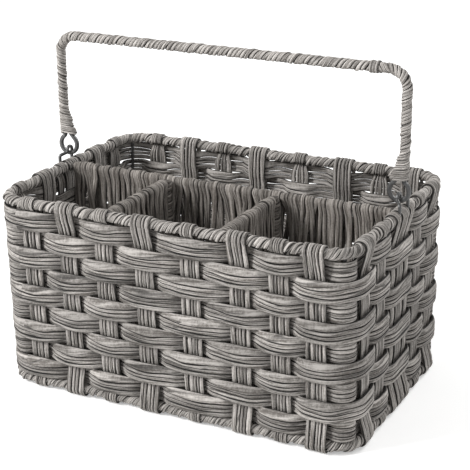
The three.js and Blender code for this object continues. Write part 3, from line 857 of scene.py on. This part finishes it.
def bound_hoop(name, node, level, strands):
    """The strands wound round one hoop; they close on themselves."""
    stations, starts, around = row_stations(level)
    q = np.array([s[0] for s in stations])
    places = [(s[1], s[2]) for s in stations]
    hooks = np.array([under_hook(wall, along, level) for wall, along in places])
    hooks = smooth_round(hooks, 0.8)
    turns = round(around / BINDING_PITCH)
    sway = wander(q, 0.14, around)
    fine = np.linspace(0, around, turns * 18, endpoint=False)
    stations_before = np.searchsorted(q, fine, side="right") - 1
    cords = []
    for start in range(strands):
        angle = 2 * math.pi * (turns * fine / around + start / strands)
        angle += np.interp(fine, q, sway, period=around) + wander(fine, 0.3, around)
        radius = BINDING_RADIUS + rng.uniform(-0.0002, 0.0002)
        radius = radius + wander(fine, 0.0008, around, (0.06, 0.025, 0.011))
        radius -= UNDER_HOOK * np.interp(fine, q, hooks, period=around)
        points, faces = [], []
        for i, here in enumerate(fine):
            wall, along = places[stations_before[i]]
            along = along + here - q[stations_before[i]]
            out, up = math.cos(angle[i]), math.sin(angle[i])
            points.append(wall_point(wall, along, radius[i] * out, level + radius[i] * up))
            faces.append(wall_normal(wall, along, level) * out + np.array((0, 0, up)))
        width = STRANDS_WIDTH / strands * (1 + wander(fine, 0.3, around, (0.07, 0.03)))
        cords.append(cord(points, faces, width, BINDING_DEPTH, closed=True, sides=8))
    return finish_piece(cords, name, "basket", node, "binding_cord")


rim = bound_hoop("rim_binding", "top_hoop_binding", RIM_LEVEL, RIM_STRANDS)
foot = bound_hoop("foot_binding", "bottom_hoop_binding", BASE_LEVEL, FOOT_STRANDS)
print("rim triangles:", 2 * len(rim.data.polygons))

# %% [markdown]
# ## The dividers
# A divider is a bent wire with cords pulled over it: each cord comes up one
# face, goes over the rail and down the other face. Below the rail the cords fan
# out a little and lie over each other. A cord wound round each post covers the
# joint between two dividers.

# %% Divider covers
CORD_HALF = 0.0031
DIVIDER_FOOT = 0.00772
WALL_GAP = 0.0042
CROSS_SHARES = {"left": -0.167, "right": 0.16}
POST_RADIUS = 0.0036
FROM_LONG = CORD_HALF + 0.0003
COVER_PITCH, COVER_WIDTH, COVER_DEPTH = 0.003, 0.0032, 0.0019
COVER_HALF, COVER_STEPS = 0.0021, 22
RAIL_OUT, RAIL_UP = 0.0029, 0.0026
FAN, FAN_REACH, RAIL_SLANT = 0.0075, 0.07, 0.0028
POST_PITCH, POST_CORD_RADIUS, POST_CORD_DEPTH = 0.0027, 0.0031, 0.0021


def divider_cover(name, node, to_world, start, end):
    """Cords over the rail; to_world takes distance along, across and level."""
    count = round((end(RIM_LEVEL) - start(RIM_LEVEL)) / COVER_PITCH)
    top = RIM_LEVEL
    arc = [math.radians(a) for a in range(0, 181, 18)]
    levels = list(np.linspace(DIVIDER_FOOT + 0.0009, top - 0.0065, COVER_STEPS))
    profile = [(COVER_HALF, z) for z in levels]
    profile += [(RAIL_OUT * math.cos(a), top + RAIL_UP * math.sin(a)) for a in arc]
    profile += [(-COVER_HALF, z) for z in reversed(levels)]
    profile = np.array(profile)
    travelled = distances(profile)
    tangents = unit(np.gradient(profile, axis=0))
    half = len(profile) // 2
    rail, past = travelled[COVER_STEPS - 1], travelled[-COVER_STEPS]
    slant = np.clip((travelled - rail) / (past - rail), 0, 1)
    cords = []
    for i in range(count):
        share = (i + 0.5) / count
        sway = wander(travelled, 0.0005, waves=(0.25, 0.11, 0.06))
        fan = np.repeat(rng.normal(0, FAN, 2), [half, len(profile) - half])
        sway += fan * np.tanh((top - profile[:, 1]).clip(0) / FAN_REACH)
        lift = rng.uniform(-0.0007, 0.0005) + wander(travelled, 0.0003)
        points, faces = [], []
        for k, (across, level) in enumerate(profile):
            low, high = start(level), end(level)
            distance = low + (high - low) * share + sway[k] + (slant[k] - 0.5) * RAIL_SLANT
            distance = min(max(distance, low + 0.0012), high - 0.0012)
            out, up = tangents[k][1], -tangents[k][0]
            points.append(to_world(distance, across + out * lift[k], level + up * lift[k]))
            faces.append(to_world(0, out, up) - to_world(0, 0, 0))
        varied = rng.uniform(0.8, 1.3) + wander(travelled, 0.12, waves=(0.15, 0.07))
        cords.append(cord(points, faces, COVER_WIDTH * varied, COVER_DEPTH, sides=8))
    return finish_piece(cords, name, "basket", node, "inner_cord")


def along_x(distance, across, level):
    return np.array((distance, across, level))


covers = [
    divider_cover(
        "long_divider_cover",
        "long_divider_cords",
        along_x,
        lambda level: WALL_GAP - length_at(level) / 2,
        lambda level: length_at(level) / 2 - 0.0056,
    )
]


def forward_from(x):
    return lambda distance, across, level: np.array((x + across, -distance, level))


for side, share in CROSS_SHARES.items():
    covers.append(
        divider_cover(
            side + "_cross_cover",
            side + "_cross_divider_cords",
            forward_from(share * RIM_LENGTH),
            lambda level: FROM_LONG + 2 * POST_RADIUS + 0.0003,
            lambda level: width_at(level) / 2 - WALL_GAP,
        )
    )


def wound_post(side, x):
    """Cord wound round the post at the back end of a cross divider."""
    low, high = DIVIDER_FOOT + 0.001, RIM_LEVEL + CORD_HALF - 0.0012
    turns = round((high - low) / POST_PITCH)
    t = np.linspace(0, 1, turns * 14)
    angle = 2 * math.pi * turns * t + wander(t * (high - low), 0.5)
    radius = POST_CORD_RADIUS + wander(t * turns * 0.02, 0.0008)
    c, s = np.cos(angle), np.sin(angle)
    y = -FROM_LONG - POST_RADIUS
    points = np.stack([x + radius * c, y + radius * s, low + (high - low) * t], axis=1)
    faces = np.stack([c, s, 0 * t], axis=1)
    made = cord(points, faces, POST_PITCH, POST_CORD_DEPTH, sides=8)
    node = side + "_divider_post_wrap"
    return finish_piece([made], side + "_post_winding", "basket", node, "inner_cord")


posts = [wound_post(side, share * RIM_LENGTH) for side, share in CROSS_SHARES.items()]
print("divider pieces:", len(covers) + len(posts))

# %% [markdown]
# ## The woven floor
# Bands of cords cross over and under each other, from hoop to hoop. The floor is
# almost hidden, so its cords have few sides.

# %% Floor
FLOOR_GAP = 0.0056
FLOOR_LENGTH, FLOOR_WIDTH = BASE_LENGTH / 2 - FLOOR_GAP, BASE_WIDTH / 2 - FLOOR_GAP
BANDS_ACROSS, BANDS_LONG = 9, 5
CORDS_LONG, CORDS_ACROSS = 45, 76
FLOOR_RISE, FLOOR_DEPTH = 0.0013, 0.0015


def floor_cords():
    cords = []
    cell_x = 2 * FLOOR_LENGTH / BANDS_ACROSS
    cell_y = 2 * FLOOR_WIDTH / BANDS_LONG
    up = np.array((0.0, 0.0, 1.0))

    def weave(x, y, sign):
        wave = math.cos(math.pi * (x / cell_x)) * math.cos(math.pi * (y / cell_y))
        return BASE_LEVEL + 0.0001 + sign * FLOOR_RISE * np.sign(wave) * abs(wave) ** 0.5

    for lines, width, long_way in (
        (CORDS_LONG, 2 * FLOOR_WIDTH, True),
        (CORDS_ACROSS, 2 * FLOOR_LENGTH, False),
    ):
        for i in range(lines):
            place = -width / 2 + width * (i + 0.5) / lines
            span = FLOOR_LENGTH if long_way else FLOOR_WIDTH
            corner = CORNER - FLOOR_GAP
            past = max(abs(place) - (width / 2 - corner), 0)
            span -= corner - math.sqrt(max(corner**2 - past**2, 0))
            run = np.linspace(-span, span, round(2 * span / 0.0035))
            sway = wander(run, 0.0003)
            cell = cell_y if long_way else cell_x
            lane = (math.floor(place / cell + 0.5)) * cell
            points = []
            for d, s in zip(run, sway):
                x, y = (d, place + s) if long_way else (place + s, d)
                level = weave(d, lane, 1) if long_way else weave(lane, d, -1)
                points.append((x, y, level))
            cords.append(cord(points, up, width / lines * 0.98, FLOOR_DEPTH, sides=6))
    return cords


floor_weave = finish_piece(floor_cords(), "floor_weave", "basket", "floor_mat", "inner_cord")
print("floor triangles:", 2 * len(floor_weave.data.polygons))

# %% [markdown]
# ## The wire loops and the handle
# The handle is one wire with an eye bent at each end. Each eye hangs in a wire
# loop whose feet are bound to the rim. Four cords side by side are wound along
# the handle; next to an eye they take in the wire's tail too, so the winding
# flares there. Near the right end of the bar a short tie holds them, and past it
# they turn the other way round.

# %% Wires
HANDLE_WIRE, LOOP_WIRE = 0.0014, 0.001
EYE_RADIUS = 0.0066
EYE_LINE = RIM_LENGTH / 2 - 0.0008
PIVOT_LEVEL = RIM_LEVEL + 0.0094
EYE_LEVEL = PIVOT_LEVEL + EYE_RADIUS
BAR_LEVEL = PIVOT_LEVEL + 0.0853
SHAFT_OFFSET, TAIL_LENGTH, TAIL_JOIN = 0.003, 0.0165, 0.0135
HANDLE_BEND = 0.012
LOOP_PLAY, LOOP_FOOT, LOOP_SHOULDER = 0.00045, 0.0075, 0.0076


def bezier(points, count):
    """Places along a curve that starts and ends straight at its outer points."""
    a, b, c, d = (np.array(p, float) for p in points)
    t = np.linspace(0, 1, count)[:, None]
    return (1 - t) ** 3 * a + 3 * (1 - t) ** 2 * t * b + 3 * (1 - t) * t**2 * c + t**3 * d


def wire(points, radius, face):
    return cord(points, face, 2 * radius, 2 * radius, sides=16)


def loop_points(end):
    """A wire loop: foot, shoulder, arch under the eye, shoulder and foot."""
    arch = HANDLE_WIRE + LOOP_PLAY + LOOP_WIRE
    arch_level = PIVOT_LEVEL + 0.002
    shoulder = RIM_LEVEL + LOOP_SHOULDER
    foot_x = RIM_LENGTH / 2 + 0.0028
    span = shoulder - arch_level
    right = bezier(
        [
            (end * EYE_LINE, arch, arch_level),
            (end * EYE_LINE, arch, arch_level + 0.55 * span),
            (end * foot_x, LOOP_FOOT, arch_level + 0.45 * span),
            (end * foot_x, LOOP_FOOT, shoulder),
        ],
        14,
    )
    right = np.concatenate([right, [(end * foot_x, LOOP_FOOT, RIM_LEVEL - 0.003)]])
    left = (right * (1, -1, 1))[::-1]
    turn = np.linspace(math.pi, 0, 15)[1:-1]
    x = np.full_like(turn, end * EYE_LINE)
    over = np.stack([x, arch * np.cos(turn), arch_level + arch * np.sin(turn)], axis=1)
    return np.concatenate([left, over, right])


def bend_points(end):
    """The round bend between an upright of the handle and its bar."""
    middle = EYE_LINE + SHAFT_OFFSET - HANDLE_BEND
    points = []
    for a in np.radians(np.linspace(0, 90, 14)):
        level = BAR_LEVEL - HANDLE_BEND * (1 - math.sin(a))
        points.append((end * (middle + HANDLE_BEND * math.cos(a)), 0, level))
    return points


def eye_half(end):
    """The wire from the tail round the eye and up the shaft to the bar."""
    tail = SHAFT_OFFSET - 2 * HANDLE_WIRE - 0.0003
    lean = EYE_RADIUS * math.sqrt(0.5)

    def at(out, up):
        return (end * (EYE_LINE + out), 0, EYE_LEVEL + up)

    inward = bezier(
        [
            at(tail, TAIL_JOIN),
            at(tail, (TAIL_JOIN + lean) / 2),
            at(-lean + 0.3 * (tail + lean), lean + 0.17 * (TAIL_JOIN - lean)),
            at(-lean, lean),
        ],
        9,
    )
    angles = np.radians(np.arange(142, 405, 7.0))
    ring = [at(EYE_RADIUS * math.cos(a), EYE_RADIUS * math.sin(a)) for a in angles]
    outward = bezier(
        [
            at(lean, lean),
            at(lean + 0.55 * (SHAFT_OFFSET - lean), lean + 0.5 * (EYE_RADIUS - lean)),
            at(SHAFT_OFFSET, lean + 0.75 * (EYE_RADIUS - lean)),
            at(SHAFT_OFFSET, EYE_RADIUS + 0.0003),
        ],
        9,
    )
    first = [at(tail, TAIL_LENGTH)]
    return np.concatenate([first, inward, ring, outward[1:], bend_points(end)])


def handle_wire():
    right, left = eye_half(1), eye_half(-1)
    return wire(np.concatenate([left, right[::-1]]), HANDLE_WIRE, (0, -1, 0))


finish_piece([handle_wire()], "handle_eye_wire", "handle", "handle_wire", "handle_wire")
for name, end in (("right", 1), ("left", -1)):
    made = wire(loop_points(end), LOOP_WIRE, (1, 0, 0))
    finish_piece([made], name + "_loop_wire", "basket", name + "_handle_loop", "handle_wire")

# %% Handle winding
END_PITCH, UPRIGHT_PITCH, BAR_PITCH = 0.0058, 0.009, 0.013
FLARE_LENGTH, TAIL_SPREAD = 0.0105, 0.0031
HANDLE_STARTS = 4
WINDING_RADIUS, WINDING_DEPTH, SLANT_RADIUS = 0.00245, 0.002, 0.0025
WINDING_START = EYE_LEVEL + EYE_RADIUS + 0.0003
TIE_PLACE, TIE_TURNS, TIE_LENGTH = 0.107, 3, 0.0058
TIE_RADIUS, TIE_WIDTH, TIE_DEPTH = 0.0032, 0.0022, 0.0018


def winding_line():
    """The middle of the handle wire, from over the left eye to over the right one."""
    first = (EYE_LINE + SHAFT_OFFSET, 0, WINDING_START + 0.001)
    right = np.concatenate([[first], bend_points(1)])
    left = right * (-1, 1, 1)
    return np.concatenate([left, right[::-1]])


def smooth(share):
    return share * share * (3 - 2 * share)


def flare(from_end):
    """How much further inward the winding reaches, to take in the wire's tail."""
    tail = TAIL_LENGTH - EYE_RADIUS - 0.0013
    closing = np.clip(1 - from_end / (TAIL_JOIN - EYE_RADIUS), 0, 1)
    fading = smooth(np.clip((tail - from_end) / FLARE_LENGTH + 1, 0, 1))
    return TAIL_SPREAD * fading + (EYE_RADIUS * math.sqrt(0.5) - 0.0008) * closing


def handle_winding():
    """Four strands with a pitch that varies along the handle, and the tie."""
    line = winding_line()
    travelled = distances(line)
    total = travelled[-1]
    fine = np.linspace(0, total, 4000)
    bar = np.clip((RIM_LENGTH / 2 + 0.006 - np.abs(fine - total / 2)) / 0.03, 0, 1)
    near_eye = np.clip(1.4 - np.minimum(fine, total - fine) / 0.016, 0, 1)
    pitches = UPRIGHT_PITCH + (BAR_PITCH - UPRIGHT_PITCH) * bar
    pitches += (END_PITCH - UPRIGHT_PITCH) * near_eye
    tied_at = total / 2 + TIE_PLACE
    hand = np.clip((tied_at - fine) / 0.0015, -1, 1)
    turned = np.concatenate([[0], np.cumsum(np.diff(fine) / pitches[1:])])
    swept = np.concatenate([[0], np.cumsum(np.diff(fine) / pitches[1:] * hand[1:])])
    front = np.array((0.0, -1.0, 0.0))

    def wound(d, angle, radius):
        """Points and outward directions of a cord wound round the wire."""
        centre = np.stack([np.interp(d, travelled, line[:, k]) for k in range(3)], axis=1)
        side = unit(np.cross(unit(np.gradient(centre, axis=0)), front))
        c, s = np.cos(angle), np.sin(angle)
        inward = smooth(np.clip((c + 0.1) / 0.6, 0, 1)) * flare(np.minimum(d, total - d))
        points = centre + side * (radius * c + inward)[:, None] + front * (radius * s)[:, None]
        return points, side * c[:, None] + front * s[:, None]

    turns = np.linspace(0, turned[-1], round(turned[-1] * 20))
    d = np.interp(turns, turned, fine)
    pitch = np.interp(d, fine, pitches)
    slant = np.arctan(pitch / (2 * math.pi * SLANT_RADIUS))
    cords = []
    for start in range(HANDLE_STARTS):
        angle = 2 * math.pi * (np.interp(d, fine, swept) + start / HANDLE_STARTS) + wander(d, 0.3)
        points, faces = wound(d, angle, WINDING_RADIUS + wander(d, 0.0004))
        width = pitch / HANDLE_STARTS * np.cos(slant) * (1.04 + wander(d, 0.12))
        cords.append(cord(points, faces, width, WINDING_DEPTH, sides=8))
    t = np.linspace(0, 1, 60)
    d, angle = tied_at + TIE_LENGTH * (t - 0.5), 2 * math.pi * TIE_TURNS * t
    points, faces = wound(d, angle, TIE_RADIUS + 0.0002 * np.sin(9 * t))
    cords.append(cord(points, faces, TIE_WIDTH, TIE_DEPTH, sides=8))
    return finish_piece(cords, "handle_cord_turns", "handle", "handle_winding", "binding_cord")


winding = handle_winding()
print("winding triangles:", 2 * len(winding.data.polygons))

# %% [markdown]
# ## The wires that stay as CAD pieces
# The hoops, corner posts and divider frames are inside the weave. They keep
# their CAD shapes and only get the wire material.

# %% Kept wires
for name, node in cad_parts.items():
    if node.hide_render:
        continue
    node.data.materials.clear()
    node.data.materials.append(MATERIALS["frame_wire"])
